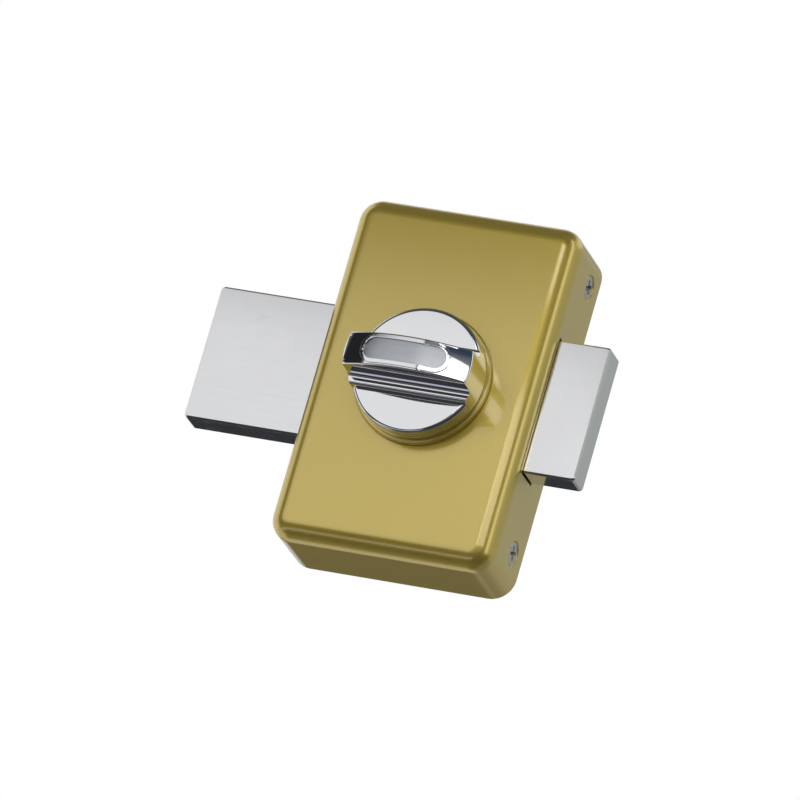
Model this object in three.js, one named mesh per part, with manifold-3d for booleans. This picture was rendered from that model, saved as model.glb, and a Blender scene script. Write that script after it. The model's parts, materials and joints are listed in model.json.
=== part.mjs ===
// Rim lock with a thumb turn and a flat bolt that runs right through its case.
// Lengths are in millimetres. Every piece is drawn as the lock lies on its back on the bench:
// x runs along the bolt, y runs up the door, and z is the height above the door.
// The last lines stand the lock up, so that +Z is up, the knob faces -Y and the door is at y = 0.
// The origin is on the knob's axis, at the door. The bolt is half thrown.
import * as THREE from "three";
import { mergeVertices } from "three/addons/utils/BufferGeometryUtils.js";
import Module from "manifold-3d";

// Case
const caseWidth = 60;
const caseHeight = 93;
const caseWall = 1.6;
const frontFillet = 4.7;
const cornerRadius = 6;

// Base plate and its side lugs
const plateThickness = 2.5;
const lugWidth = 12;
const lugHeight = 12;
const lugInset = 10.3; // from the case's end to the lug's middle
const woodScrewRadius = 2.3;
const woodScrewHeadRadius = 4.4;
const woodScrewSpacing = 32;
const woodScrewInset = 9.5;
const woodScrewLand = 0.6; // straight part of its hole, at the door
const cylinderScrewRadius = 2.7;
const cylinderScrewSpacing = 36;

// Bolt
const boltHeight = 36;
const boltThickness = 8;
const boltBack = 9; // from the door to the bolt's back
const noseReach = 13.8; // beyond the case, on the side it locks into
const tailReach = 31.6;
const boltChamfer = 0.5;

// Rack and pinion
const toothModule = 0.75;
const pinionTeeth = 10;
const profileShift = 0.41;
const pressureAngle = THREE.MathUtils.degToRad(20);
const backlash = 0.16;
const pinionAddendum = 0.85; // in modules, as is the rack's
const rackAddendum = 1;
const dedendum = 1.25;
const flankSteps = 3;

// Guide rails and the plate in front of the bolt
const railWidth = 7.7;
const footWidth = 7;
const guidePlateThickness = 1.7;
const guidePlateCorner = 1.5;

// Bolt stop and click balls
const stopPinRadius = 2;
const stopPinReach = 2.4; // into the bolt
const stopPinChamfer = 0.4;
const ballRadius = 2;
const ballReach = 0.9; // out of the rail's foot
const ballGrooveRadius = 1.75;
const springWire = 0.45;
const springTurns = 3.5;
const grooveDepth = 1;
const dimpleDepth = 0.6; // below the groove's floor
const trackInset = 3.8; // from the bolt's edge to the pin and the balls

// Spindle, its bushes, washer and clip
const shaftRadius = 4;
const flatDepth = 0.5;
const journalRadius = 5.5;
const slotWidth = 2.4; // for the flat tail bar of the cylinder outside
const slotLength = 7.4;
const slotDepth = 6.5;
const bushWall = 1.5;
const bushFlangeWidth = 2;
const bushFlangeThickness = 1.1;
const washerThickness = 0.3;
const washerWave = 0.15;
const clipThickness = 0.7;
const clipWidth = 1.9;
const clipGroove = 0.5;
const clipMouth = 0.75; // half of it, as a share of the clip's inner radius

// Knob and the collar round it
const knobRadius = 16.8;
const knobBase = 6.6; // from the case's front to the knob's two flats
const knobChamfer = 0.6;
const gripCrest = 18.7; // from the case's front to the middle of the grip's crowned top
const gripCrownRadius = 41; // of the top's curve along the grip
const gripOverhang = 0.2; // past the knob's rim, at the grip's ends
const gripWidth = 8.8;
const gripChamfer = 0.4;
const gripStraight = 6.2; // of the grip's side, down from its crest
const gripFlare = 0.75; // outwards, where the side runs down to the foot
const gripFoot = 14.2;
const gripFootRise = 2.2; // above the knob's flats
const gripFootRound = 0.8;
const collarLip = 1;
const collarHeight = 1.2;
const collarSpigot = 1;

// Screws
const screwRadius = 1.45;
const coverHeadRadius = 3;
const coverScrewHeight = 7.3; // from the door
const coverScrewLength = 7;
const countersink = 1.5;
const panHeadRadius = 2.7;
const panHeadHeight = 1.2;
const railScrewInset = 5.3;
const railScrewLength = 6;
const setScrewLength = 7;
const recessWidth = 0.7;
const recessDepth = 0.8;
const recessShare = 0.6; // of the head's radius
const panHeadTaper = 0.8; // of the head's radius, at its top
const socketShare = 0.5; // of the set screw's radius

// Gaps
const joinGap = 0.3; // between faces that rest on each other
const slideGap = 0.4; // round the bolt
const turnGap = 0.1; // round the spindle
const collarGap = 0.5; // round the washer
const screwGap = 0.15; // round a screw, ball or pin
const coverGap = 0.3; // between the plate and the case's wall
const past = 1; // how far a cut runs past what it cuts

const knobSides = 48;
const roundSides = 28;
const smallSides = 12;
const crownSides = 72;
const cornerSteps = 3;
const coveSteps = 5;
const washerSides = 30;
const springSteps = 10; // for each turn of the spring
const wireSides = 6;

// Places that follow from those sizes. Heights are above the door.
const boltFront = boltBack + boltThickness;
const guideBack = boltFront + slideGap;
const guideFront = guideBack + guidePlateThickness;
const panHeadTop = guideFront + joinGap + panHeadHeight;
const innerFront = panHeadTop + joinGap;
const caseFront = innerFront + caseWall;
const innerX = caseWidth / 2 - caseWall;
const innerY = caseHeight / 2 - caseWall;
const plateX = innerX - coverGap;
const plateY = innerY - coverGap;
const lugY = caseHeight / 2 - lugInset;
const railX = plateX - plateThickness - joinGap;
const railInnerY = boltHeight / 2 + slideGap;
const railOuterY = railInnerY + railWidth;
const footInnerY = railInnerY - footWidth;
const footFront = boltBack - slideGap;
const railBack = plateThickness + joinGap;
const trackY = boltHeight / 2 - trackInset;
const railScrewX = railX - railScrewInset;
const railScrewY = (railInnerY + railOuterY) / 2;

const pitchRadius = (toothModule * pinionTeeth) / 2;
const pitch = Math.PI * toothModule;
const halfTravel = Math.PI * pitchRadius; // half a turn of the knob
const baseRadius = pitchRadius * Math.cos(pressureAngle);
const tipRadius = pitchRadius + toothModule * (profileShift + pinionAddendum);
const rootRadius = pitchRadius + toothModule * (profileShift - dedendum);
const rackLine = pitchRadius + toothModule * profileShift;
const rackTips = rackLine - toothModule * rackAddendum;
const rackRoots = rackLine + toothModule * dedendum;
const windowX = halfTravel + tipRadius + joinGap;
const windowBottom = tipRadius + slideGap;

const frontBushBack = guideBack + joinGap / 2;
const frontFlangeBack = guideFront + joinGap;
const frontFlangeFront = frontFlangeBack + bushFlangeThickness;
const washerMiddle = frontFlangeFront + joinGap / 2 + washerWave + washerThickness / 2;
const clipBack = washerMiddle + washerWave + washerThickness / 2 + joinGap / 2;
const clipFront = clipBack + clipThickness;
const washerRadius = shaftRadius + bushWall + bushFlangeWidth;
const collarBore = washerRadius + collarGap;
const collarFront = caseFront + joinGap + collarHeight;
const knobBack = collarFront + joinGap;
const knobFlats = caseFront + knobBase;
const gripFootTop = knobFlats + gripFootRise;
const gripFront = caseFront + gripCrest;
const spindleFront = knobFlats + gripFootRise / 2;
const spindleBack = joinGap * 2;
const setScrewHeight = (knobBack + knobFlats) / 2;

const wasm = await Module();
wasm.setup();

// --- Tools for shaping ---

function solid(geometry) {
  const bare = geometry.index ? geometry.toNonIndexed() : geometry.clone();
  bare.deleteAttribute("normal");
  bare.deleteAttribute("uv");
  const merged = mergeVertices(bare, 1e-4);
  return new wasm.Manifold(
    new wasm.Mesh({
      numProp: 3,
      vertProperties: merged.attributes.position.array,
      triVerts: new Uint32Array(merged.index.array),
    }),
  );
}

function geometryOf(shape) {
  const mesh = shape.getMesh();
  return new THREE.BufferGeometry()
    .setAttribute("position", new THREE.BufferAttribute(mesh.vertProperties, 3))
    .setIndex(new THREE.BufferAttribute(mesh.triVerts, 1));
}

function block(x0, x1, y0, y1, z0, z1) {
  const geometry = new THREE.BoxGeometry(x1 - x0, y1 - y0, z1 - z0);
  geometry.translate((x0 + x1) / 2, (y0 + y1) / 2, (z0 + z1) / 2);
  return solid(geometry);
}

// A flat outline raised from one height to another.
function raised(shape, z0, z1, sides = 6) {
  const settings = { depth: z1 - z0, bevelEnabled: false, curveSegments: sides };
  return solid(new THREE.ExtrudeGeometry(shape, settings).translate(0, 0, z0));
}

// A turned piece from its half section, as [radius, height] points that run outwards and up.
function turned(section, sides = roundSides) {
  const points = section.map(([radius, height]) => new THREE.Vector2(radius, height));
  return solid(new THREE.LatheGeometry(points, sides).rotateX(Math.PI / 2));
}

function rod(radius, z0, z1, sides = roundSides) {
  return turned([[0, z0], [radius, z0], [radius, z1], [0, z1]], sides);
}

function ring(inner, outer, z0, z1, sides = roundSides) {
  return turned([[inner, z0], [outer, z0], [outer, z1], [inner, z1], [inner, z0]], sides);
}

// Lays a piece that was made along z over to run along another axis.
const alongX = (shape) => shape.rotate([0, 90, 0]);
const alongY = (shape) => shape.rotate([-90, 0, 0]);

function roundedRectangle(halfX, halfY, radius) {
  const shape = new THREE.Shape();
  shape.absarc(halfX - radius, halfY - radius, radius, 0, Math.PI / 2);
  shape.absarc(radius - halfX, halfY - radius, radius, Math.PI / 2, Math.PI);
  shape.absarc(radius - halfX, radius - halfY, radius, Math.PI, Math.PI * 1.5);
  shape.absarc(halfX - radius, radius - halfY, radius, Math.PI * 1.5, Math.PI * 2);
  return shape;
}

function outline(points) {
  return new THREE.Shape(points.map(([x, y]) => new THREE.Vector2(x, y)));
}

const corners = [[1, 1], [-1, 1], [-1, -1], [1, -1]];
const cornerNames = ["right_top", "left_top", "left_bottom", "right_bottom"];

// --- Case ---

// A block with rounded corners and a rounded front.
function domedBlock(halfX, halfY, corner, fillet, back, front) {
  const settings = {
    depth: front - back,
    bevelThickness: fillet,
    bevelSize: fillet,
    bevelOffset: -fillet,
    bevelSegments: 4,
    curveSegments: 5,
  };
  const shape = roundedRectangle(halfX, halfY, corner);
  const whole = solid(new THREE.ExtrudeGeometry(shape, settings).translate(0, 0, back - fillet));
  const room = block(-halfX - past, halfX + past, -halfY - past, halfY + past, back, front + past);
  return whole.intersect(room);
}

// A hole for a countersunk screw that points down and lies a little below the surface at zero.
function countersunkHole(headRadius, sunk, through) {
  const mouth = headRadius + joinGap;
  const shank = screwRadius + screwGap;
  return turned(
    [[0, -through], [shank, -through], [shank, -sunk - countersink - joinGap],
      [mouth, -sunk], [mouth, past], [0, past]],
    smallSides,
  );
}

function cover() {
  const outer = domedBlock(caseWidth / 2, caseHeight / 2, cornerRadius, frontFillet, 0, caseFront);
  const innerFillet = frontFillet - caseWall;
  const inner = domedBlock(innerX, innerY, cornerRadius - caseWall, innerFillet, -past, innerFront);
  let shell = outer.subtract(inner);
  const slotX = caseWidth / 2 + past;
  const slotY = boltHeight / 2 + slideGap;
  shell = shell.subtract(
    block(-slotX, slotX, -slotY, slotY, boltBack - slideGap, boltFront + slideGap),
  );
  shell = shell.subtract(rod(collarBore + collarSpigot + screwGap, innerFront - past, caseFront + past));
  for (const [side, end] of corners) {
    const hole = countersunkHole(coverHeadRadius, screwGap, caseWall + past).rotate([0, side * 90, 0]);
    shell = shell.subtract(hole.translate([(side * caseWidth) / 2, end * lugY, coverScrewHeight]));
  }
  return shell;
}

function knobCollar() {
  const edge = knobRadius + collarLip;
  const seat = caseFront + joinGap;
  const round = collarHeight / 2;
  return turned([
    [collarBore, innerFront], [collarBore + collarSpigot, innerFront],
    [collarBore + collarSpigot, seat], [edge, seat], [edge, seat + round],
    [edge - round / 3, collarFront - round / 3], [edge - round, collarFront],
    [collarBore, collarFront], [collarBore, innerFront],
  ], knobSides);
}

// --- Base plate ---

function basePlate() {
  const sheet = roundedRectangle(plateX, plateY, cornerRadius - caseWall);
  const bent = raised(sheet, 0, lugHeight);
  let plate = raised(sheet, 0, plateThickness);
  for (const [side, end] of corners) {
    const inside = side * (plateX - plateThickness);
    const outside = side * (plateX + past);
    const lug = block(
      Math.min(inside, outside), Math.max(inside, outside),
      end * lugY - lugWidth / 2, end * lugY + lugWidth / 2, 0, lugHeight + past,
    );
    plate = plate.add(lug.intersect(bent));
  }
  for (const [side, end] of corners) {
    const thread = alongX(rod(screwRadius + screwGap, -plateThickness, plateThickness, smallSides));
    const lugMiddle = side * (plateX - plateThickness / 2);
    plate = plate.subtract(thread.translate([lugMiddle, end * lugY, coverScrewHeight]));
    const woodScrew = turned([
      [0, -past], [woodScrewRadius, -past], [woodScrewRadius, woodScrewLand],
      [woodScrewHeadRadius, plateThickness], [woodScrewHeadRadius, plateThickness + past],
      [0, plateThickness + past],
    ], smallSides);
    plate = plate.subtract(
      woodScrew.translate([(side * woodScrewSpacing) / 2, end * (plateY - woodScrewInset), 0]),
    );
    const railScrewHole = countersunkHole(panHeadRadius, joinGap, plateThickness + past);
    plate = plate.subtract(
      railScrewHole.rotate([180, 0, 0]).translate([side * railScrewX, end * railScrewY, 0]),
    );
  }
  for (const side of [1, -1]) {
    const cylinderScrew = rod(cylinderScrewRadius, -past, plateThickness + past, smallSides);
    plate = plate.subtract(cylinderScrew.translate([(side * cylinderScrewSpacing) / 2, 0, 0]));
  }
  return plate.subtract(rod(journalRadius + turnGap + bushWall + screwGap, -past, plateThickness + past));
}

// --- Guides ---

// The rail above the bolt, with a foot that carries the bolt's back. Its bore holds a pin or a ball.
function rail(boreRadius) {
  const section = block(-railX, railX, railInnerY, railOuterY, railBack, guideBack - joinGap).add(
    block(-railX, railX, footInnerY, railOuterY - past, railBack, footFront),
  );
  const screwHole = rod(screwRadius + screwGap, 0, guideFront, smallSides);
  return section
    .subtract(screwHole.translate([railScrewX, railScrewY, 0]))
    .subtract(screwHole.translate([-railScrewX, railScrewY, 0]))
    .subtract(rod(boreRadius, 0, boltFront, smallSides).translate([0, trackY, 0]));
}

function guidePlate() {
  let plate = raised(roundedRectangle(railX, railOuterY, guidePlateCorner), guideBack, guideFront);
  for (const [side, end] of corners) {
    const hole = rod(screwRadius + screwGap, guideBack - past, guideFront + past, smallSides);
    plate = plate.subtract(hole.translate([side * railScrewX, end * railScrewY, 0]));
  }
  const bushHole = shaftRadius + turnGap + bushWall + screwGap;
  return plate.subtract(rod(bushHole, guideBack - past, guideFront + past));
}

// --- Bolt ---

// The window that the pinion turns in. Its upper edge is the rack.
function rackWindow() {
  const lean = Math.tan(pressureAngle);
  const halfTooth = (pitch - backlash) / 4;
  const tipHalf = halfTooth - (rackLine - rackTips) * lean;
  const rootHalf = halfTooth + (rackRoots - rackLine) * lean;
  const points = [[-windowX, -windowBottom], [windowX, -windowBottom], [windowX, rackRoots]];
  const teeth = Math.floor((windowX - rootHalf) / pitch - 0.5) + 1;
  for (let n = teeth - 0.5; n > -teeth; n -= 1) {
    points.push([n * pitch + rootHalf, rackRoots], [n * pitch + tipHalf, rackTips]);
    points.push([n * pitch - tipHalf, rackTips], [n * pitch - rootHalf, rackRoots]);
  }
  points.push([-windowX, rackRoots]);
  return raised(outline(points), boltBack - past, boltFront + past);
}

// A round-ended groove in the bolt's back, along which a fixed pin or ball runs.
function groove(radius, depth) {
  const shape = new THREE.Shape();
  const end = halfTravel + joinGap;
  shape.absarc(end, 0, radius, -Math.PI / 2, Math.PI / 2);
  shape.absarc(-end, 0, radius, Math.PI / 2, Math.PI * 1.5);
  return raised(shape, boltBack - past, boltBack + depth, 5);
}

function bolt() {
  const left = -caseWidth / 2 - tailReach;
  const right = caseWidth / 2 + noseReach;
  const middle = (left + right) / 2;
  const settings = {
    depth: boltThickness - 2 * boltChamfer,
    bevelThickness: boltChamfer,
    bevelSize: boltChamfer,
    bevelOffset: -boltChamfer,
    bevelSegments: 1,
    curveSegments: 3,
  };
  const shape = roundedRectangle((right - left) / 2, boltHeight / 2, 2 * boltChamfer);
  const bar = new THREE.ExtrudeGeometry(shape, settings);
  bar.translate(middle, 0, boltBack + boltChamfer);
  const pinGroove = groove(stopPinRadius + slideGap, stopPinReach + slideGap);
  let made = solid(bar).subtract(rackWindow()).subtract(pinGroove.translate([0, trackY, 0]));
  made = made.subtract(groove(ballGrooveRadius, grooveDepth).translate([0, -trackY, 0]));
  const dimpleBottom = boltBack + grooveDepth + dimpleDepth;
  const dimple = new THREE.SphereGeometry(ballRadius, smallSides, smallSides / 2).rotateX(Math.PI / 2);
  for (const place of [-halfTravel, 0, halfTravel]) {
    made = made.subtract(solid(dimple).translate([place, -trackY, dimpleBottom - ballRadius]));
  }
  return made;
}

// --- Spindle and what carries it ---

function pinionOutline() {
  const involute = (angle) => Math.tan(angle) - angle;
  const widened = profileShift * Math.tan(pressureAngle);
  const halfThickness = toothModule * (Math.PI / 4 + widened) - backlash / 4;
  const halfAngle = (radius) =>
    halfThickness / pitchRadius + involute(pressureAngle) - involute(Math.acos(baseRadius / radius));
  const flank = [[rootRadius, halfAngle(baseRadius)]];
  for (let step = 0; step <= flankSteps; step += 1) {
    const radius = THREE.MathUtils.lerp(baseRadius, tipRadius, step / flankSteps);
    flank.push([radius, halfAngle(radius)]);
  }
  const points = [];
  for (let tooth = 0; tooth < pinionTeeth; tooth += 1) {
    const middle = Math.PI / 2 + (tooth * 2 * Math.PI) / pinionTeeth;
    const at = ([radius, angle]) => [
      radius * Math.cos(middle + angle),
      radius * Math.sin(middle + angle),
    ];
    points.push(...flank.map(([radius, angle]) => at([radius, -angle])));
    points.push(...flank.toReversed().map(at));
  }
  return outline(points);
}

function spindle() {
  const pinionBack = boltBack + joinGap / 2;
  const pinionFront = boltFront - joinGap / 2;
  const grooveRadius = shaftRadius - clipGroove;
  const shaft = turned([
    [0, spindleBack], [journalRadius, spindleBack], [journalRadius, footFront],
    [rootRadius, footFront], [rootRadius, guideBack], [shaftRadius, guideBack],
    [shaftRadius, clipBack - turnGap], [grooveRadius, clipBack - turnGap],
    [grooveRadius, clipFront + turnGap], [shaftRadius, clipFront + turnGap],
    [shaftRadius, spindleFront], [0, spindleFront],
  ]);
  const flat = shaftRadius - flatDepth;
  return shaft
    .add(raised(pinionOutline(), pinionBack, pinionFront))
    .subtract(block(
      -slotLength / 2, slotLength / 2, -slotWidth / 2, slotWidth / 2,
      spindleBack - past, spindleBack + slotDepth,
    ))
    .subtract(block(-shaftRadius, shaftRadius, flat, shaftRadius + past, knobBack, spindleFront + past));
}

// A flanged bush. The flange is on the side away from the door.
function bush(bore, back, flangeBack, flangeFront) {
  const sleeve = bore + bushWall;
  const flange = sleeve + bushFlangeWidth;
  return turned([
    [bore, back], [sleeve, back], [sleeve, flangeBack], [flange, flangeBack],
    [flange, flangeFront], [bore, flangeFront], [bore, back],
  ]);
}

function waveWasher() {
  const half = washerThickness / 2;
  const flat = ring(shaftRadius + screwGap, washerRadius, -half, half, washerSides);
  return flat.warp((point) => {
    point[2] += washerMiddle + washerWave * Math.sin(3 * Math.atan2(point[1], point[0]));
  });
}

function retainingClip() {
  const inner = shaftRadius - clipGroove + turnGap;
  const whole = ring(inner, inner + clipWidth, clipBack, clipFront);
  const mouth = inner * clipMouth;
  return whole.subtract(block(-mouth, mouth, -shaftRadius * 2, 0, clipBack - past, clipFront + past));
}

// --- Knob ---

// Half of the grip's section, from its middle out to its foot, as [across, height].
function gripSection() {
  const side = gripWidth / 2;
  const foot = gripFoot / 2;
  const cove = new THREE.QuadraticBezierCurve(
    new THREE.Vector2(side, gripFront - gripStraight),
    new THREE.Vector2(side, gripFootTop + gripFlare),
    new THREE.Vector2(side + gripFlare, gripFootTop),
  );
  const round = new THREE.EllipseCurve(
    foot - gripFootRound, gripFootTop - gripFootRound, gripFootRound, gripFootRound, Math.PI / 2, 0, true,
  );
  const curves = [...cove.getPoints(coveSteps), ...round.getPoints(cornerSteps)];
  return [[side, gripFront + past], ...curves.map(({ x, y }) => [x, y]), [foot, knobBack + past]];
}

// The crowned top and its chamfered edges, as the rim of a wheel that stands along the grip.
function gripCrown() {
  const flat = gripWidth / 2 - gripChamfer;
  const edge = gripFoot / 2;
  const rim = gripCrownRadius - (edge - flat);
  const wheel = turned([[0, -edge], [rim, -edge], [gripCrownRadius, -flat], [gripCrownRadius, flat],
    [rim, edge], [0, edge]], crownSides);
  return alongY(wheel).translate([0, 0, gripFront - gripCrownRadius]);
}

function grip() {
  const half = gripSection();
  const section = outline([...half.map(([y, z]) => [z, y]), ...half.toReversed().map(([y, z]) => [z, -y])]);
  const end = knobRadius + past;
  const bar = raised(section, -end, end).rotate([0, -90, 0]).mirror([1, 0, 0]);
  const reach = rod(knobRadius + gripOverhang, knobBack + past, gripFront + past, knobSides);
  return bar.intersect(reach).intersect(gripCrown());
}

function knob() {
  const disc = turned([
    [0, knobBack], [knobRadius - knobChamfer, knobBack], [knobRadius, knobBack + knobChamfer],
    [knobRadius, knobFlats - knobChamfer], [knobRadius - knobChamfer, knobFlats], [0, knobFlats],
  ], knobSides);
  const bore = rod(shaftRadius + screwGap, knobBack - past, spindleFront + joinGap);
  const setScrewHole = alongY(rod(screwRadius + screwGap, 0, knobRadius + past, smallSides));
  return disc.add(grip()).subtract(bore).subtract(setScrewHole.translate([0, 0, setScrewHeight]));
}

function setScrew() {
  const body = rod(screwRadius, 0, setScrewLength, smallSides);
  const socket = rod(screwRadius * socketShare, setScrewLength - recessDepth, setScrewLength + past, 6);
  const upright = alongY(body.subtract(socket));
  return upright.translate([0, shaftRadius - flatDepth + joinGap, setScrewHeight]);
}

// --- Screws, pins and springs ---

// Slots for a driver, cut across a head whose top is at zero.
function driverSlots(size, count) {
  const one = block(-size, size, -recessWidth / 2, recessWidth / 2, -recessDepth, past);
  return count > 1 ? one.add(one.rotate([0, 0, 90])) : one;
}

// Each screw points down from a head whose top is at zero.
function countersunkScrew(headRadius, length, slots) {
  return turned(
    [[0, -length], [screwRadius, -length], [screwRadius, -countersink], [headRadius, 0], [0, 0]],
    smallSides,
  ).subtract(driverSlots(headRadius * recessShare, slots));
}

function panHeadScrew(length) {
  return turned(
    [[0, -length], [screwRadius, -length], [screwRadius, -panHeadHeight], [panHeadRadius, -panHeadHeight],
      [panHeadRadius * panHeadTaper, 0], [0, 0]],
    smallSides,
  ).subtract(driverSlots(panHeadRadius * recessShare, 1));
}

function stopPin() {
  const front = boltBack + stopPinReach;
  return turned(
    [[0, railBack], [stopPinRadius, railBack], [stopPinRadius, front - stopPinChamfer],
      [stopPinRadius - stopPinChamfer, front], [0, front]],
    smallSides,
  ).translate([0, trackY, 0]);
}

const ballMiddle = footFront + ballReach - ballRadius;

class Helix extends THREE.Curve {
  constructor(radius, z0, z1, turns) {
    super();
    Object.assign(this, { radius, z0, z1, turns });
  }

  getPoint(t, target = new THREE.Vector3()) {
    const angle = t * this.turns * 2 * Math.PI;
    return target.set(
      this.radius * Math.cos(angle),
      this.radius * Math.sin(angle),
      THREE.MathUtils.lerp(this.z0, this.z1, t),
    );
  }
}

function ballSpring() {
  const wire = springWire / 2;
  const section = outline(Array.from({ length: wireSides }, (_, n) => {
    const angle = (n * 2 * Math.PI) / wireSides;
    return [wire * Math.cos(angle), wire * Math.sin(angle)];
  }));
  const back = railBack + wire;
  const front = ballMiddle - ballRadius - wire;
  const path = new Helix(ballRadius - springWire, back, front, springTurns);
  const settings = { extrudePath: path, steps: Math.round(springTurns * springSteps), bevelEnabled: false };
  return solid(new THREE.ExtrudeGeometry(section, settings)).translate([0, -trackY, 0]);
}

// --- Materials ---

const metal = (color, roughness) => new THREE.MeshStandardMaterial({ color, roughness, metalness: 1 });
const lacquer = new THREE.MeshStandardMaterial({ color: 0xb4a35e, roughness: 0.35, metalness: 0.7 });
const chrome = metal(0xd6d8dc, 0.08);
const nickel = metal(0xcfd0d0, 0.28);
const zincPlate = metal(0xb9bcc0, 0.4);
const hardSteel = metal(0x8f9296, 0.35);
const bronze = metal(0xb08a4e, 0.4);
const springSteel = metal(0x6d7278, 0.3);
const castZinc = metal(0x9da0a3, 0.5);

// --- Assembly ---

const lock = new THREE.Group();

function place(name, shape, material, position = [0, 0, 0], rotation = [0, 0, 0]) {
  const geometry = shape.isBufferGeometry ? shape : geometryOf(shape);
  const mesh = new THREE.Mesh(geometry, material);
  mesh.name = name;
  mesh.position.set(...position);
  mesh.rotation.set(...rotation);
  lock.add(mesh);
}

place("cover", cover(), lacquer);
place("knob_collar", knobCollar(), lacquer);
place("base_plate", basePlate(), zincPlate);
place("upper_rail", rail(stopPinRadius + screwGap), castZinc);
place("lower_rail", rail(ballRadius + screwGap).mirror([0, 1, 0]), castZinc);
place("guide_plate", guidePlate(), zincPlate);
place("bolt", bolt(), nickel);
place("stop_pin", stopPin(), hardSteel);
place("click_ball", new THREE.SphereGeometry(ballRadius, 16, 10), hardSteel, [0, -trackY, ballMiddle]);
place("click_spring", ballSpring(), springSteel);

place("spindle", spindle(), hardSteel);
place("front_bush", bush(shaftRadius + turnGap, frontBushBack, frontFlangeBack, frontFlangeFront), bronze);
place("rear_bush", bush(journalRadius + turnGap, joinGap, railBack, railBack + bushFlangeThickness), bronze);
place("wave_washer", waveWasher(), springSteel);
place("retaining_clip", retainingClip(), springSteel);
place("knob", knob(), chrome);
place("knob_set_screw", setScrew(), hardSteel);

const coverScrew = geometryOf(countersunkScrew(coverHeadRadius, coverScrewLength, 2));
const guideScrew = geometryOf(panHeadScrew(panHeadHeight + guidePlateThickness + railScrewLength));
const railScrew = geometryOf(countersunkScrew(panHeadRadius, plateThickness + railScrewLength, 1));
corners.forEach(([side, end], n) => {
  const screwX = side * (caseWidth / 2 - screwGap);
  const turn = (side * Math.PI) / 2;
  const there = [side * railScrewX, end * railScrewY];
  const inCover = [screwX, end * lugY, coverScrewHeight];
  place(`cover_screw_${cornerNames[n]}`, coverScrew, nickel, inCover, [0, turn, 0]);
  place(`guide_screw_${cornerNames[n]}`, guideScrew, zincPlate, [...there, panHeadTop]);
  place(`rail_screw_${cornerNames[n]}`, railScrew, zincPlate, [...there, joinGap], [Math.PI, 0, 0]);
});

lock.rotation.x = Math.PI / 2;
const part = new THREE.Group();
part.add(lock);

export default part;
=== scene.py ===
# Rim lock with a thumb turn: its looks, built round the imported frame. Everything is in metres.
# x runs along the bolt, z is up, the knob faces -y and the door is at y = 0.
import json
import math
import bmesh
import bpy
from mathutils import Matrix, Vector

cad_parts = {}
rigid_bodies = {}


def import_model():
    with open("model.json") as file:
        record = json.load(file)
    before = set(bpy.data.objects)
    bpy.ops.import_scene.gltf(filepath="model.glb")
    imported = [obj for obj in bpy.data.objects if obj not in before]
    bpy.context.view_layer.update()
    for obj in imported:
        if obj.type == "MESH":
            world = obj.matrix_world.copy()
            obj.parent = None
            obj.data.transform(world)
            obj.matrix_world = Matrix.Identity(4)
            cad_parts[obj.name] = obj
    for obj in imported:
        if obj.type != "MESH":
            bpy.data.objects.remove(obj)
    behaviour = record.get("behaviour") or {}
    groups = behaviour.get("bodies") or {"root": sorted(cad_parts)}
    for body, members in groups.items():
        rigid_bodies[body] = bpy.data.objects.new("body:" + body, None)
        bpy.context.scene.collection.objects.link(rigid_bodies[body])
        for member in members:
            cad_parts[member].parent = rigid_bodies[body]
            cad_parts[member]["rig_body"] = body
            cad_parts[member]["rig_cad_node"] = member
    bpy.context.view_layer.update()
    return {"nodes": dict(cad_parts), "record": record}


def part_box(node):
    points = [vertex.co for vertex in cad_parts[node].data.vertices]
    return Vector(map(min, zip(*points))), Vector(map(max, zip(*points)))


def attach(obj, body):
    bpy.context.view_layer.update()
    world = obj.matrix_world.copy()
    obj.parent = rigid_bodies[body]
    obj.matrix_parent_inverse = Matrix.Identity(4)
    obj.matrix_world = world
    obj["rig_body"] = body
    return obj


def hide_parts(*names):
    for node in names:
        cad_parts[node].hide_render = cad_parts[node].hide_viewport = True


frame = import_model()
cad = frame["nodes"]
mm = 0.001
nearby = 1e-6  # points this close are one point
print("frame loaded:", len(cad), "nodes")


# Leaves one piece selected and active.
def only(piece):
    bpy.ops.object.select_all(action="DESELECT")
    piece.select_set(True)
    bpy.context.view_layer.objects.active = piece
    return piece


def named(name):
    piece = bpy.context.object
    piece.name = name
    piece.data.name = name
    return piece


# Goes into edit mode and selects the elements that pass a test.
def pick(kind, test):
    bpy.ops.object.mode_set(mode="EDIT")
    bpy.ops.mesh.select_mode(type=kind)
    bpy.ops.mesh.select_all(action="DESELECT")
    mesh = bpy.context.object.data
    shape = bmesh.from_edit_mesh(mesh)
    elements = {"VERT": shape.verts, "EDGE": shape.edges, "FACE": shape.faces}[kind]
    for element in elements:
        if test(element):
            element.select_set(True)
    shape.select_flush_mode()
    bmesh.update_edit_mesh(mesh)


def done():
    bpy.ops.object.mode_set(mode="OBJECT")
    return bpy.context.object


def tidyNormals():
    bpy.ops.mesh.select_all(action="SELECT")
    bpy.ops.mesh.remove_doubles(threshold=nearby)
    bpy.ops.mesh.normals_make_consistent(inside=False)


# A box between two corners, given in millimetres.
def boxBetween(name, low, high):
    bpy.ops.object.select_all(action="DESELECT")
    middle = [(a + b) / 2 * mm for a, b in zip(low, high)]
    bpy.ops.mesh.primitive_cube_add(size=1, location=middle)
    bpy.ops.transform.resize(value=[(b - a) * mm for a, b in zip(low, high)])
    bpy.ops.object.transform_apply(location=True, rotation=True, scale=True)
    return only(named(name))


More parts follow.
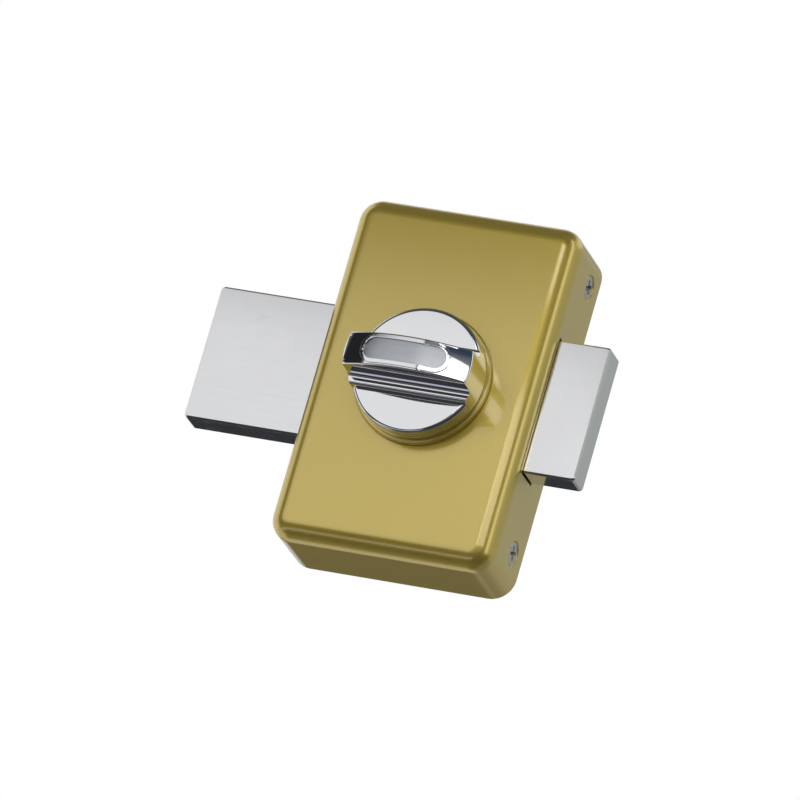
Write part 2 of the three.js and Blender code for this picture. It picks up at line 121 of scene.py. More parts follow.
# A line of points, drawn by extruding one point on and on. Left in edit mode, all selected.
def lineOf(name, points):
    bpy.ops.object.select_all(action="DESELECT")
    bpy.ops.mesh.primitive_plane_add(size=mm)
    piece = named(name)
    bpy.ops.object.mode_set(mode="EDIT")
    bpy.ops.mesh.select_mode(type="VERT")
    bpy.ops.mesh.select_all(action="SELECT")
    bpy.ops.mesh.merge(type="CENTER")
    bpy.ops.transform.translate(value=points[0])
    for here, there in zip(points, points[1:]):
        step = [b - a for a, b in zip(here, there)]
        bpy.ops.mesh.extrude_region_move(TRANSFORM_OT_translate={"value": step})
    bpy.ops.mesh.select_all(action="SELECT")
    return piece


# A turned piece. The profile is in millimetres, as (radius, distance along the axis).
def turned(name, profile, axis=(0, -1, 0), centre=(0, 0, 0), steps=96):
    along = Vector(axis)
    out = Vector((0, 0, 1)) if abs(along.z) < 0.5 else Vector((1, 0, 0))
    start = Vector(centre) * mm
    piece = lineOf(name, [start + (out * radius + along * far) * mm for radius, far in profile])
    bpy.ops.mesh.spin(steps=steps, angle=2 * math.pi, center=start, axis=along)
    tidyNormals()
    return done()


# A flat outline in millimetres, drawn out along a vector.
def drawnOut(name, points, along):
    piece = lineOf(name, [Vector(p) * mm for p in points])
    bpy.ops.mesh.edge_face_add()
    bpy.ops.mesh.extrude_region_move(TRANSFORM_OT_translate={"value": Vector(along) * mm})
    tidyNormals()
    return done()


def withModifier(piece, kind, **settings):
    only(piece)
    change = piece.modifiers.new(kind.lower(), kind)
    for name, value in settings.items():
        setattr(change, name, value)
    bpy.ops.object.modifier_apply(modifier=change.name)
    return piece


# Cuts, adds or keeps what two pieces share. The tool is used up.
def combined(piece, tool, operation="DIFFERENCE"):
    withModifier(piece, "BOOLEAN", operation=operation, object=tool, solver="EXACT")
    bpy.data.objects.remove(tool)
    return piece


def softened(piece, width, angle=35, segments=3):
    return withModifier(
        piece, "BEVEL", width=width * mm, segments=segments, limit_method="ANGLE",
        angle_limit=math.radians(angle), use_clamp_overlap=True, miter_outer="MITER_ARC",
    )


# Smooth over the small angles, with the big flats kept flat.
def smoothed(piece, angle=35):
    only(piece)
    bpy.ops.object.shade_smooth_by_angle(angle=math.radians(angle))
    return withModifier(piece, "WEIGHTED_NORMAL", keep_sharp=True, weight=50)


def copyOf(piece, name):
    only(piece)
    bpy.ops.object.duplicate(linked=False)
    return named(name)


# Hands a finished piece over: what it rides on, what it stands for and its material. The slot's name is not
# used.
def fitted(piece, body, slotName, material, *replaced):
    piece.data.materials.clear()
    piece.data.materials.append(material)
    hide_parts(*replaced)
    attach(piece, body)
    return piece


def feed(tree, entry, value):
    if isinstance(value, Socket):
        tree.links.new(value.socket, entry)
    else:
        entry.default_value = value


class Socket:
    def __init__(self, tree, socket):
        self.tree = tree
        self.socket = socket

    def maths(self, operation, first, second):
        node = self.tree.nodes.new("ShaderNodeMath")
        node.operation = operation
        feed(self.tree, node.inputs[0], first)
        feed(self.tree, node.inputs[1], second)
        return Socket(self.tree, node.outputs[0])

    # For the operations that take one value.
    def alone(self, operation):
        return self.maths(operation, self, 0)

    def __add__(self, other):
        return self.maths("ADD", self, other)

    def __radd__(self, other):
        return self.maths("ADD", other, self)

    def __sub__(self, other):
        return self.maths("SUBTRACT", self, other)

    def __rsub__(self, other):
        return self.maths("SUBTRACT", other, self)

    def __mul__(self, other):
        return self.maths("MULTIPLY", self, other)

    def __rmul__(self, other):
        return self.maths("MULTIPLY", other, self)


class Tree:
    def __init__(self, tree):
        self.tree = tree
        tree.nodes.clear()

    # Any node: its settings first, then the values or links of its sockets.
    def node(self, kind, settings=None, inputs=None, output=0):
        made = self.tree.nodes.new("ShaderNode" + kind)
        for name, value in (settings or {}).items():
            setattr(made, name, value)
        for name, value in (inputs or {}).items():
            feed(self.tree, made.inputs[name], value)
        return None if output is None else Socket(self.tree, made.outputs[output])

    # A vector's x, y and z.
    def axesOf(self, vector):
        split = self.node("SeparateXYZ", {}, {"Vector": vector}).socket.node
        return [Socket(self.tree, output) for output in split.outputs]

    def noise(self, where, scale, detail=2.0, roughness=0.5):
        inputs = {"Vector": where, "Scale": scale, "Detail": detail, "Roughness": roughness}
        return self.node("TexNoise", {}, inputs)

    def ranged(self, value, low, high, start=0.0, end=1.0, curve="SMOOTHSTEP"):
        inputs = {"Value": value, "From Min": low, "From Max": high, "To Min": start, "To Max": end}
        return self.node("MapRange", {"interpolation_type": curve}, inputs)

    def stretched(self, where, scale):
        return self.node("Mapping", {}, {"Vector": where, "Scale": scale})

    def blended(self, factor, first, second):
        return self.node("Mix", {"data_type": "RGBA"}, {0: factor, 6: first, 7: second}, 2)

    def bumped(self, height, strength, distance):
        inputs = {"Height": height, "Strength": strength, "Distance": distance}
        return self.node("Bump", {}, inputs)


# A material from a recipe, which gets the tree and the object's own coordinates.
def finish(name, recipe):
    material = bpy.data.materials.new(name)
    material.use_nodes = True
    tree = Tree(material.node_tree)
    where = tree.node("TexCoord", output="Object")
    surface = tree.node("BsdfPrincipled", {}, recipe(tree, where))
    tree.node("OutputMaterial", {}, {"Surface": surface}, None)
    return material


def tinted(colour, share):
    return tuple(min(1, part * share) for part in colour) + (1,)


badge = {
    "half": 12, "tall": 3.85, "rimWide": 1.0, "proud": 0.42, "fieldProud": 0.05, "sunk": 0.3,
    "round": 0.36, "roundSteps": 6, "sharp": 0.8, "rimReach": 0.1,
    "chrome": (0.93, 0.935, 0.95), "chromeRough": 0.06, "field": (0.5, 0.52, 0.55), "fade": 0.1,
    "frost": 0.22, "frostScale": 2600, "frostBump": 0.15, "smear": 0.15, "smearScale": (220, 900, 900),
}
grainDistance = 0.00002  # how high the grain of a metal stands, in metres
fine = (3, 0.6)  # the detail and the roughness of a fine noise
middling = (0.3, 0.7)  # what nearly all of a noise's values lie between

lacquer = {
    "colour": (0.665, 0.5, 0.078), "speckle": 0.035, "speckScale": 3600, "rough": 0.34, "metallic": 0.86,
    "roughSpeckle": 0.04, "roughCloud": 0.02, "coat": 1.0, "coatRough": 0.09, "coatIor": 2.0, "cloud": 26,
    "peelScale": 300, "peel": 0.02, "peelDepth": 0.00001,
}


def lacquerRecipe(tree, where):
    specks = tree.noise(where, lacquer["speckScale"], *fine)
    cloud = tree.noise(where, lacquer["cloud"], 3)
    shade = tree.ranged(specks, *middling, curve="LINEAR")
    dark = tinted(lacquer["colour"], 1 - lacquer["speckle"])
    light = tinted(lacquer["colour"], 1 + lacquer["speckle"])
    peel = tree.noise(where, lacquer["peelScale"])
    smoothest = lacquer["rough"] - (lacquer["roughSpeckle"] + lacquer["roughCloud"]) / 2
    return {
        "Base Color": tree.blended(shade, dark, light),
        "Metallic": lacquer["metallic"],
        "Roughness": smoothest + specks * lacquer["roughSpeckle"] + cloud * lacquer["roughCloud"],
        "Coat Weight": lacquer["coat"],
        "Coat Roughness": lacquer["coatRough"],
        "Coat IOR": lacquer["coatIor"],
        "Normal": tree.bumped(peel, lacquer["peel"], lacquer["peelDepth"]),
    }


# The plate on the grip: chrome on its raised rim, frosted and a little dull on the field inside it.
def badgeRecipe(tree, where):
    x, _, up = tree.axesOf(where)
    past = x.alone("ABSOLUTE") - (badge["half"] - badge["tall"]) * mm
    past = past.maths("MAXIMUM", past, 0)
    far = (past * past + up * up).alone("SQRT")
    inner = (badge["tall"] - badge["rimWide"]) * mm
    field = 1 - tree.ranged(far, inner, inner + badge["fade"] * mm)
    frost = tree.noise(where, badge["frostScale"], *fine)
    smear = tree.noise(tree.stretched(where, badge["smearScale"]), 1, *fine)
    dull, bright = (tinted(badge["field"], 1 + change) for change in (-badge["smear"], badge["smear"]))
    return {
        "Base Color": tree.blended(field, tinted(badge["chrome"], 1), tree.blended(smear, dull, bright)),
        "Metallic": 1.0,
        "Roughness": badge["chromeRough"] + field * badge["frost"],
        "Normal": tree.bumped(frost * field, badge["frostBump"], grainDistance),
    }


wear = {"cloudScale": 90, "smearScale": 240, "smearFrom": 0.55, "smearTo": 0.75, "roughChange": 0.4}


# A metal with a fine grain and handling marks.
def metalRecipe(colour, rough, grain, grainDepth, marks, variation):
    def recipe(tree, where):
        lines = tree.noise(tree.stretched(where, grain), 1, *fine)
        cloud = tree.noise(where, wear["cloudScale"], 3)
        smears = tree.noise(where, wear["smearScale"], 4, 0.7)
        smear = tree.ranged(smears, wear["smearFrom"], wear["smearTo"])
        tone = tree.ranged(lines * 0.5 + cloud * 0.5, *middling, curve="LINEAR")
        dark, light = (tinted(colour, 1 + change) for change in (-variation, variation))
        return {
            "Base Color": tree.blended(tone, dark, light),
            "Metallic": 1.0,
            "Roughness": rough + (lines - 0.5) * (rough * wear["roughChange"]) + smear * marks,
            "Normal": tree.bumped(lines, grainDepth, grainDistance),
        }
    return recipe


metals = {
    # name: material, colour, roughness, grain along x, y and z, its depth, handling marks and variation
    "knob_chrome": ("knobChrome", (0.93, 0.935, 0.95), 0.04, (300, 300, 300), 0.01, 0.02, 0.01),
    "satin_nickel": ("boltNickel", (0.88, 0.885, 0.9), 0.12, (60, 2200, 2200), 0.06, 0.06, 0.03),
    "screw_nickel": ("screwNickel", (0.62, 0.61, 0.57), 0.24, (800, 800, 800), 0.25, 0.12, 0.15),
    "screw_zinc": ("screwZinc", (0.6, 0.61, 0.63), 0.34, (700, 700, 700), 0.15, 0.12, 0.06),
    "zinc_plate": ("zincPlate", (0.62, 0.64, 0.66), 0.36, (90, 90, 2600), 0.18, 0.14, 0.06),
    "cast_zinc": ("castZinc", (0.5, 0.51, 0.52), 0.48, (1400, 1400, 1400), 0.5, 0.1, 0.12),
    "hard_steel": ("hardSteel", (0.5, 0.51, 0.53), 0.3, (1800, 150, 1800), 0.15, 0.1, 0.06),
    "spring_steel": ("springSteel", (0.35, 0.37, 0.4), 0.28, (900, 900, 900), 0.1, 0.1, 0.06),
    "bronze": ("bushBronze", (0.62, 0.42, 0.2), 0.38, (1500, 1500, 1500), 0.3, 0.1, 0.1),
}
finishes = {slot: finish(name, metalRecipe(*values)) for slot, (name, *values) in metals.items()}
finishes["case_lacquer"] = finish("caseLacquer", lacquerRecipe)
finishes["badge"] = finish("badgeChrome", badgeRecipe)
print("finishes made:", len(finishes))

# Every CAD node takes its slot's finish; some are replaced further on.
slotOfNode = {row["node"]: row["material_slot"] for row in frame["record"]["subparts"]}
for nodeName, node in cad.items():
    for entry in node.material_slots:
        entry.material = finishes[slotOfNode[nodeName]]


flatOn = 0.999  # how much of a face's normal lies along the axis it faces
case = {
    "width": 60, "height": 93, "front": 22.5, "wall": 1.6, "corner": 6, "fillet": 4.7,
    "slotUp": 18.4, "slotBack": 8.6, "slotFront": 17.4, "knobHole": 9.15, "holeFrom": 19, "holeTo": 24,
    "screwUp": 36.2, "screwBack": 7.3, "edge": 0.12, "roundSteps": 12, "frontInset": 0.4, "frontArea": 0.001,
    # the countersink, as (radius, distance out from the side)
    "sink": [(0, -3), (1.6, -3), (1.6, -1.95), (3.3, -0.15), (3.3, 1), (0, 1)],
    "spare": 2,  # how far the slot's tool stands out of the sides
}


def makeCase():
    halfWide, halfTall, spare = case["width"] / 2, case["height"] / 2, case["spare"]
    piece = boxBetween("caseShell", (-halfWide, -case["front"], -halfTall), (halfWide, 0, halfTall))
    pick("EDGE", lambda e: abs(e.verts[0].co.y - e.verts[1].co.y) > mm)
    bpy.ops.mesh.bevel(offset=case["corner"] * mm, segments=case["roundSteps"], affect="EDGES")
    front = -case["front"] * mm
    pick("EDGE", lambda e: all(v.co.y < front + nearby for v in e.verts))
    bpy.ops.mesh.bevel(offset=case["fillet"] * mm, segments=case["roundSteps"], affect="EDGES")
    pick("FACE", lambda f: f.normal.y < -flatOn and f.calc_area() > case["frontArea"])
    bpy.ops.mesh.inset(thickness=case["frontInset"] * mm)
    pick("FACE", lambda f: f.normal.y > flatOn)
    bpy.ops.mesh.delete(type="FACE")
    tidyNormals()
    done()
    withModifier(piece, "SOLIDIFY", thickness=case["wall"] * mm, offset=-1, use_even_offset=True)
    slots = boxBetween(
        "slotTool", (-halfWide - spare, -case["slotFront"], -case["slotUp"]),
        (halfWide + spare, -case["slotBack"], case["slotUp"]),
    )
    combined(piece, slots)
    inside, outside = case["holeFrom"], case["holeTo"]
    hole = [(0, inside), (case["knobHole"], inside), (case["knobHole"], outside), (0, outside)]
    combined(piece, turned("holeTool", hole, steps=64))
    for side in (1, -1):
        for end in (1, -1):
            centre = (side * halfWide, -case["screwBack"], end * case["screwUp"])
            combined(piece, turned("sinkTool", case["sink"], (side, 0, 0), centre, steps=40))
    softened(piece, case["edge"], angle=50, segments=2)
    smoothed(piece, angle=32)
    fitted(piece, "case", "case_lacquer", finishes["case_lacquer"], "cover")
    print("case shell made:", len(piece.data.polygons), "faces")


makeCase()

collar = {
    "bore": 8, "spigot": 9, "edge": 17.8, "inner": 20.9, "seat": 22.8, "front": 24, "round": 0.55,
    "edgeCut": 0.15, "boreCut": 0.2,
}


def arc(middle, radius, start, end, steps, squash=1.0):
    points = []
    for step in range(steps + 1):
        angle = math.radians(start + (end - start) * step / steps)
        points.append((middle[0] + radius * math.cos(angle), middle[1] + squash * radius * math.sin(angle)))
    return points


def makeCollar():
    bore, edge, front, turn = (collar[part] for part in ("bore", "edge", "front", "round"))
    edgeCut, boreCut = collar["edgeCut"], collar["boreCut"]
    rim = arc((edge - turn, front - turn), turn, 0, 90, steps=8)
    profile = [
        (bore, collar["inner"]), (collar["spigot"], collar["inner"]),
        (collar["spigot"], collar["seat"]), (edge - edgeCut, collar["seat"]),
        (edge, collar["seat"] + edgeCut), *rim, (bore + boreCut, front),
        (bore, front - boreCut), (bore, collar["inner"]),
    ]
    piece = turned("knobCollar", profile, steps=160)
    smoothed(piece, angle=40)
    fitted(piece, "case", "case_lacquer", finishes["case_lacquer"], "knob_collar")
    print("knob collar made")


makeCollar()


knob = {
    "radius": 16.8, "back": 24.3, "flats": 29.1, "rimWide": 1.1, "rimDeep": 0.9,
    "crest": 41.2, "crown": 41, "gripHalf": 4.4, "gripEdge": 0.45, "crossCrown": 0.1,
    "reach": 17.0, "straight": 35.0, "flare": 0.75, "footHalf": 7.1, "footTop": 31.3, "footRound": 0.95,
    "bore": 4.15, "boreStart": 23, "boreEnd": 30.5, "screwHole": 1.6, "screwUp": 26.7, "screwDeep": 18,
    "backCut": (0.15, 0.5), "barLow": 26, "barTop": 43, "reachLow": 25.5, "reachTop": 52, "spare": 1,
    # the top corners of the grip's ends, as (distance in from the end, height)
    "brow": [(0, 36.8), (0.08, 37.05), (0.25, 37.25), (0.5, 37.45)],
}
# The tool that crowns the grip: where its outline has points, in degrees and millimetres.
wheel = {"edgeAngles": (0, 20, 40, 60, 75), "topAt": (0, 1, 2, 3), "steep": 0.6, "past": 1, "fall": 4}
# The tool that cuts the badge.
pill = {"steps": 24, "top": 46, "deep": 9}


def curveThrough(start, bend, end, steps):
    points = []
    for step in range(steps + 1):
        t = step / steps
        points.append(tuple(
            (1 - t) ** 2 * a + 2 * t * (1 - t) * b + t * t * c for a, b, c in zip(start, bend, end)
        ))
    return points


# The crowned top as the rim of a big wheel whose axle runs up the door.
def crownWheel(name, crest):
    radius = knob["crown"] - (knob["crest"] - crest)
    half, edge, steep = knob["gripHalf"], knob["gripEdge"], wheel["steep"]
    middle = (half - edge, radius - knob["crossCrown"] - edge)
    side = []
    for degrees in wheel["edgeAngles"]:
        angle = math.radians(degrees)
        side.append((middle[0] + edge * math.sin(angle), middle[1] + edge * math.cos(angle)))
    last = side[-1]
    side.append((last[0] + steep, last[1] - steep * math.tan(angle)))
    side.append((knob["footHalf"] + wheel["past"], last[1] - wheel["fall"]))
    top = [(across, radius - knob["crossCrown"] * (across / half) ** 2) for across in wheel["topAt"]]
    right = top + side
    outline = [(far, -across) for across, far in reversed(right)]
    outline += [(far, across) for across, far in right[1:]]
    profile = [(0, outline[0][1])] + outline + [(0, outline[-1][1])]
    centre = (0, -(knob["crest"] - knob["crown"]), 0)
    return turned(name, profile, (0, 0, 1), centre, steps=256)


# A stadium shape that runs along the grip, as a block through its top.
def pillBlock(name, half, tall):
    points = []
    for side in (1, -1):
        for step in range(pill["steps"] + 1):
            angle = math.radians(step * 180 / pill["steps"] - side * 90)
            across = side * (half - tall) + tall * math.cos(angle)
            points.append((across, -pill["top"], tall * math.sin(angle)))
    return drawnOut(name, points, (0, pill["deep"], 0))


def makeKnob():
    rim = arc((knob["radius"] - knob["rimWide"], knob["flats"] - knob["rimDeep"]), knob["rimWide"],
              0, 90, steps=10, squash=knob["rimDeep"] / knob["rimWide"])
    radius, back = knob["radius"], knob["back"]
    little, much = knob["backCut"]
    disc = turned("thumbKnob", [
        (0, back), (radius - much, back), (radius - little, back + little), (radius, back + much),
        *rim, (0, knob["flats"]),
    ], steps=160)

    cove = curveThrough(
        (knob["gripHalf"], knob["straight"]), (knob["gripHalf"], knob["footTop"] + knob["flare"]),
        (knob["gripHalf"] + knob["flare"], knob["footTop"]), steps=10,
    )
    foot = arc((knob["footHalf"] - knob["footRound"], knob["footTop"] - knob["footRound"]),
               knob["footRound"], 90, 0, steps=8)
    half = [(knob["gripHalf"], knob["barTop"]), *cove, *foot, (knob["footHalf"], knob["barLow"])]
    section = half + [(-across, height) for across, height in reversed(half)]
    start = -radius - knob["spare"]
    bar = drawnOut("gripTool", [(start, -height, across) for across, height in section], (-2 * start, 0, 0))
    combined(bar, crownWheel("wheelTool", knob["crest"] - badge["proud"]), "INTERSECT")
    end, low = knob["reach"], knob["reachLow"]
    brow = [(end - inward, height) for inward, height in knob["brow"]]
    reach = [(0, low), (end, low), *brow, (0, knob["reachTop"])]
    combined(bar, turned("reachTool", reach, steps=192), "INTERSECT")

    combined(disc, bar, "UNION")
    bore, start, end = knob["bore"], knob["boreStart"], knob["boreEnd"]
    combined(disc, turned("boreTool", [(0, start), (bore, start), (bore, end), (0, end)], steps=48))
    hole, deep = knob["screwHole"], knob["screwDeep"]
    holeProfile = [(0, 0), (hole, 0), (hole, deep), (0, deep)]
    combined(disc, turned("holeTool", holeProfile, (0, 0, 1), (0, -knob["screwUp"], 0), steps=32))
    smoothed(disc, angle=32)
    fitted(disc, "knob", "knob_chrome", finishes["knob_chrome"], "knob")
    print("thumb knob made:", len(disc.data.polygons), "faces")


makeKnob()


# A thin plate with a raised round rim, which follows the grip's crown.
def makeBadge():
    half, tall, wide = badge["half"], badge["tall"], badge["rimWide"]
    plate = pillBlock("thumbBadge", half, tall)
    combined(plate, crownWheel("wheelTool", knob["crest"]), "INTERSECT")
    hollow = pillBlock("pillTool", half - wide, tall - wide)
    combined(hollow, crownWheel("wheelTool", knob["crest"] - badge["proud"] + badge["fieldProud"]))
    combined(plate, hollow)
    combined(plate, crownWheel("wheelTool", knob["crest"] - badge["proud"] - badge["sunk"]))
    outer = (knob["crown"] - knob["crossCrown"] - badge["rimReach"]) * mm
    drop = (knob["crest"] - knob["crown"]) * mm

    def onRim(edge):
        atTop = all(math.hypot(v.co.x, v.co.y + drop) > outer for v in edge.verts)
        return atTop and edge.calc_face_angle(0) > badge["sharp"]

    pick("EDGE", onRim)
    bpy.ops.mesh.bevel(
        offset=badge["round"] * mm, segments=badge["roundSteps"], affect="EDGES", clamp_overlap=True,
    )
    tidyNormals()
    done()
    smoothed(plate, angle=40)
    fitted(plate, "knob", "knob_chrome", finishes["badge"])
    print("badge made:", len(plate.data.polygons), "faces")


makeBadge()


coverScrew = {
    "head": 3.0, "shank": 1.45, "cone": 1.5, "length": 7, "pitch": 0.6, "thread": 0.22, "edge": 0.05,
    "rim": [(0.25, 0), (0.05, -0.06), (0, -0.22)],  # as (distance in from the head's edge, height)
    "tip": 1, "tipIn": 0.5, "recess": 2.2, "slot": 0.6, "above": 0.5, "drawn": 1.8, "taper": 0.5,
    "turnSide": 23, "turnEnd": 41,
}


def makeScrews():
    head, shank, cone = coverScrew["head"], coverScrew["shank"], coverScrew["cone"]
    length, pitch = coverScrew["length"], coverScrew["pitch"]
    rim = [(head - inward, height) for inward, height in coverScrew["rim"]]
    profile = [(0, 0), *rim, (shank, -cone)]
    far = cone + pitch
    while far < length - coverScrew["tip"]:
        profile += [(shank, -far), (shank - coverScrew["thread"], -far - pitch / 2)]
        far += pitch
    profile += [(shank, -far), (shank - coverScrew["tipIn"], -length), (0, -length)]
    one = turned("screwTool", profile, (1, 0, 0), steps=64)
    long, thin = coverScrew["recess"], coverScrew["slot"]
    corners = [(thin, long), (thin, thin), (long, thin)]
    outline = corners + [(z, -y) for y, z in corners] + [(-y, -z) for y, z in corners]
    outline += [(-z, y) for y, z in corners]
    corners = [(coverScrew["above"], y, z) for y, z in outline]
    cross = drawnOut("recessTool", corners, (-coverScrew["drawn"], 0, 0))
    pick("VERT", lambda v: v.co.x < 0)
    taper = coverScrew["taper"]
    bpy.ops.transform.resize(value=(1, taper, taper), center_override=(0, 0, 0))
    done()
    combined(one, cross)
    softened(one, coverScrew["edge"], angle=45, segments=2)
    names = {(1, 1): "right_top", (-1, 1): "left_top", (-1, -1): "left_bottom", (1, -1): "right_bottom"}
    for (side, end), place in names.items():
        node = "cover_screw_" + place
        screw = copyOf(one, "caseScrew_" + place)
        low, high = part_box(node)
        outside = high.x if side > 0 else low.x
        bpy.ops.object.mode_set(mode="EDIT")
        bpy.ops.mesh.select_all(action="SELECT")
        bpy.ops.transform.resize(value=(side, 1, 1), center_override=(0, 0, 0))
        turn = math.radians(coverScrew["turnSide"] * side + coverScrew["turnEnd"] * end)
        bpy.ops.transform.rotate(value=turn, orient_axis="X", center_override=(0, 0, 0))
        middle = (low + high) / 2
        bpy.ops.transform.translate(value=(outside, middle.y, middle.z))
        tidyNormals()
        done()
        smoothed(screw)
        fitted(screw, "case", "screw_nickel", finishes["screw_nickel"], node)
    bpy.data.objects.remove(one)
    print("case screws made")


makeScrews()


# Triangles join into quads where they lie this flat and come out this square, in degrees.
quads = {"flat": 0.5, "square": 60}


# A copy of a CAD node, merged and mostly quads, with its sharp edges rounded.
def brokenEdges(nodeName, pieceName, width, body, angle=35):
    piece = copyOf(cad[nodeName], pieceName)
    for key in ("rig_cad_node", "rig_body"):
        del piece[key]
    piece.parent = None
    bpy.ops.object.mode_set(mode="EDIT")
    bpy.ops.mesh.select_all(action="SELECT")
    bpy.ops.mesh.remove_doubles(threshold=nearby)
    flat, square = math.radians(quads["flat"]), math.radians(quads["square"])
    bpy.ops.mesh.tris_convert_to_quads(face_threshold=flat, shape_threshold=square)
    done()
    softened(piece, width, angle, segments=2)
    smoothed(piece, angle=32)
    slotName = slotOfNode[nodeName]
    return fitted(piece, body, slotName, finishes[slotName], nodeName)


refined = {
    "bolt": ("boltBar", 0.12, "bolt"), "base_plate": ("basePlate", 0.15, "case"),
    "upper_rail": ("upperRail", 0.15, "case"), "lower_rail": ("lowerRail", 0.15, "case"),
    "guide_plate": ("guidePlate", 0.12, "case"), "rear_bush": ("rearBush", 0.08, "case"),
    "front_bush": ("frontBush", 0.08, "case"), "spindle": ("spindleShaft", 0.06, "knob"),
}
for nodeName, (pieceName, width, body) in refined.items():
    piece = brokenEdges(nodeName, pieceName, width, body)
    print(pieceName, "made:", len(piece.data.polygons), "faces")


stage = {
    "floor": -1.0, "floorSize": 14, "floorColour": (0.82, 0.82, 0.81, 1), "floorRough": 0.9, "white": 1.0,
}


def makeFloor():
    bpy.ops.object.select_all(action="DESELECT")
    bpy.ops.mesh.primitive_plane_add(size=stage["floorSize"], location=(0, 0, stage["floor"]))
    floor = named("floor")
    material = bpy.data.materials.new("paleFloor")
    material.use_nodes = True
    surface = material.node_tree.nodes["Principled BSDF"]
    surface.inputs["Base Color"].default_value = stage["floorColour"]
    surface.inputs["Roughness"].default_value = stage["floorRough"]
    floor.data.materials.append(material)
    floor.visible_glossy = False


# Soft boxes close to the lock. Each stands across y and glows in bands: from x to x, from z to z, all in
# metres, then how soft its sides and its top are, and its level.
panels = {
    "y": -0.212, "margin": 0.01, "darkest": 0.001,
    "frontPanel": [(-0.21, -0.022, -0.052, 0.102, 0.004, 0.03, 0.765)],
    "sidePanel": [
        (-0.013, 0.14, 0.016, 0.064, 0.002, 0.002, 1.5),
        (-0.017, -0.012, 0.016, 0.064, 0.001, 0.002, 5.0),
        (-0.013, 0.06, 0.09, 0.13, 0.002, 0.003, 1.9),
    ],
}


# One from low to high, and none past them.
def between(tree, value, low, high, soft, softEnd=None):
    softEnd = soft if softEnd is None else softEnd
    rise = tree.ranged(value, low - soft, low + soft)
    fall = tree.ranged(value, high - softEnd, high + softEnd)
    return rise * (1 - fall)


def makePanel(name, bands):
    margin = panels["margin"]
    left, right = min(b[0] for b in bands) - margin, max(b[1] for b in bands) + margin
    low, high = min(b[2] for b in bands) - margin, max(b[3] + b[5] for b in bands) + margin
    corners = [(left, low), (right, low), (right, high), (left, high)]
    panel = drawnOut(name, [(x / mm, panels["y"] / mm, z / mm) for x, z in corners], (0, -1, 0))
    material = bpy.data.materials.new(name + "Glow")
    material.use_nodes = True
    tree = Tree(material.node_tree)
    x, _, z = tree.axesOf(tree.node("TexCoord", output="Object"))
    light = 0
    for start, end, bottom, top, softSide, softTop, level in bands:
        band = between(tree, x, start, end, softSide) * between(tree, z, bottom, top, softSide, softTop)
        light = band.maths("MAXIMUM", band * level, light)
    clear = tree.node("BsdfTransparent")
    glow = tree.node("Emission", {}, {"Color": light, "Strength": 1.0})
    solid = light.maths("GREATER_THAN", light, panels["darkest"])
    mixed = tree.node("MixShader", {}, {0: solid, 1: clear, 2: glow})
    tree.node("OutputMaterial", {}, {"Surface": mixed}, None)
    panel.data.materials.append(material)
    panel.visible_camera = False
    panel.visible_shadow = False
    panel.visible_diffuse = False


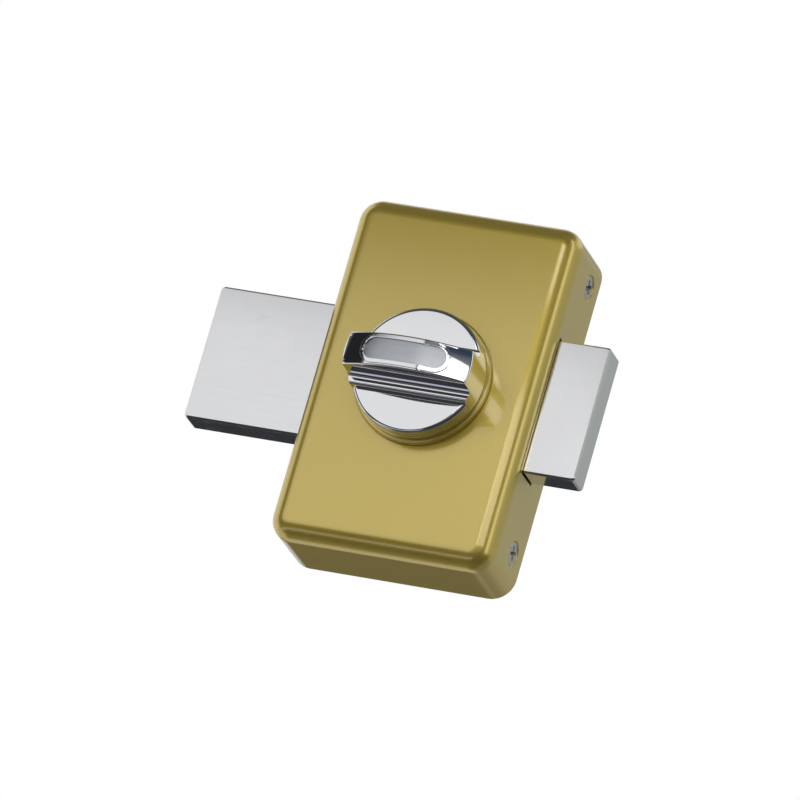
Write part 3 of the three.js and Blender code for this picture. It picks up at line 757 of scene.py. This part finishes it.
# The room round the lock, by direction. Bearings run from the knob's side towards the bolt's nose.
room = {
    "level": 0.2,
    # name: bearing from and to, elevation from and to, softness, all in degrees; then the colour
    "zones": [
        ("rightWall", 66, 179, -20, 62, 6, (0.35, 0.37, 0.36)),
        ("rightHigh", 95, 179, 34, 75, 5, (0.8, 0.8, 0.76)),
        ("rightLight", 48, 66, -30, 62, 4, (1.2, 1.2, 1.12)),
        ("rightDark", 30, 48, -60, 62, 4, (0.07, 0.07, 0.07)),
        ("topDark", -52, 2, 26, 70, 3, (0.05, 0.05, 0.05)),
        ("topBlue", 2, 32, 20, 70, 3, (0.03, 0.045, 0.075)),
        ("leftDark", -71, -50, -60, 60, 2, (0.015, 0.015, 0.016)),
        ("leftLight", -140, -71, -25, 50, 4, (0.75, 0.75, 0.74)),
        ("leftBack", -172, -140, -8, 62, 5, (0.7, 0.7, 0.68)),
        ("lowFront", -74, 90, -78, -8, 4, (0.035, 0.035, 0.037)),
        ("lilac", -74, 0, -44, -32, 3, (0.5, 0.5, 0.6)),
        ("lowBack", -179, -80, -60, -27, 4, (0.6, 0.6, 0.6)),
        ("lowSpot", -178, -140, -25, -10, 4, (0.025, 0.027, 0.03)),
        ("below", -180, 180, -90, -66, 4, (0.08, 0.08, 0.085)),
        ("above", -180, 180, 60, 90, 8, (0.08, 0.08, 0.08)),
    ],
}


def makeRoom():
    world = bpy.data.worlds.new("studio")
    bpy.context.scene.world = world
    world.use_nodes = True
    tree = Tree(world.node_tree)
    x, y, z = tree.axesOf(tree.node("TexCoord", output="Generated"))
    bearing = x.maths("ARCTAN2", x, y * -1) * math.degrees(1)
    height = z.alone("ARCSINE") * math.degrees(1)

    colour = (room["level"],) * 3 + (1,)
    for _, left, right, low, high, soft, tone in room["zones"]:
        mask = between(tree, bearing, left, right, soft) * between(tree, height, low, high, soft)
        colour = tree.blended(mask, colour, tone + (1,))
    seen = tree.node("LightPath", output="Is Glossy Ray")
    white = (stage["white"],) * 3 + (1,)
    chosen = tree.blended(seen, white, colour)
    glow = tree.node("Background", {}, {"Color": chosen, "Strength": 1.0})
    tree.node("OutputWorld", {}, {"Surface": glow}, None)


# Where the camera stands and the way it is turned: its right, its up and its back.
view = {
    "place": (1.03456, -2.66231, -0.91758), "lens": 538.614, "sensor": 36, "near": 0.05, "far": 50,
    "right": (0.925, 0.272815, 0.264476), "up": (-0.150876, -0.375109, 0.91462),
    "back": (0.348729, -0.885926, -0.305814),
}


def makeCamera():
    bpy.ops.object.camera_add(location=view["place"])
    camera = bpy.context.object
    camera.data.lens = view["lens"]
    camera.data.sensor_width = view["sensor"]
    camera.data.clip_start = view["near"]
    camera.data.clip_end = view["far"]
    turn = Matrix((view["right"], view["up"], view["back"])).transposed()
    camera.rotation_mode = "QUATERNION"
    camera.rotation_quaternion = turn.to_quaternion()
    bpy.context.scene.camera = camera


makeFloor()
for panelName in ("frontPanel", "sidePanel"):
    makePanel(panelName, panels[panelName])
makeRoom()
makeCamera()
bpy.context.scene.view_settings.view_transform = "Standard"
print("floor, light and camera set")
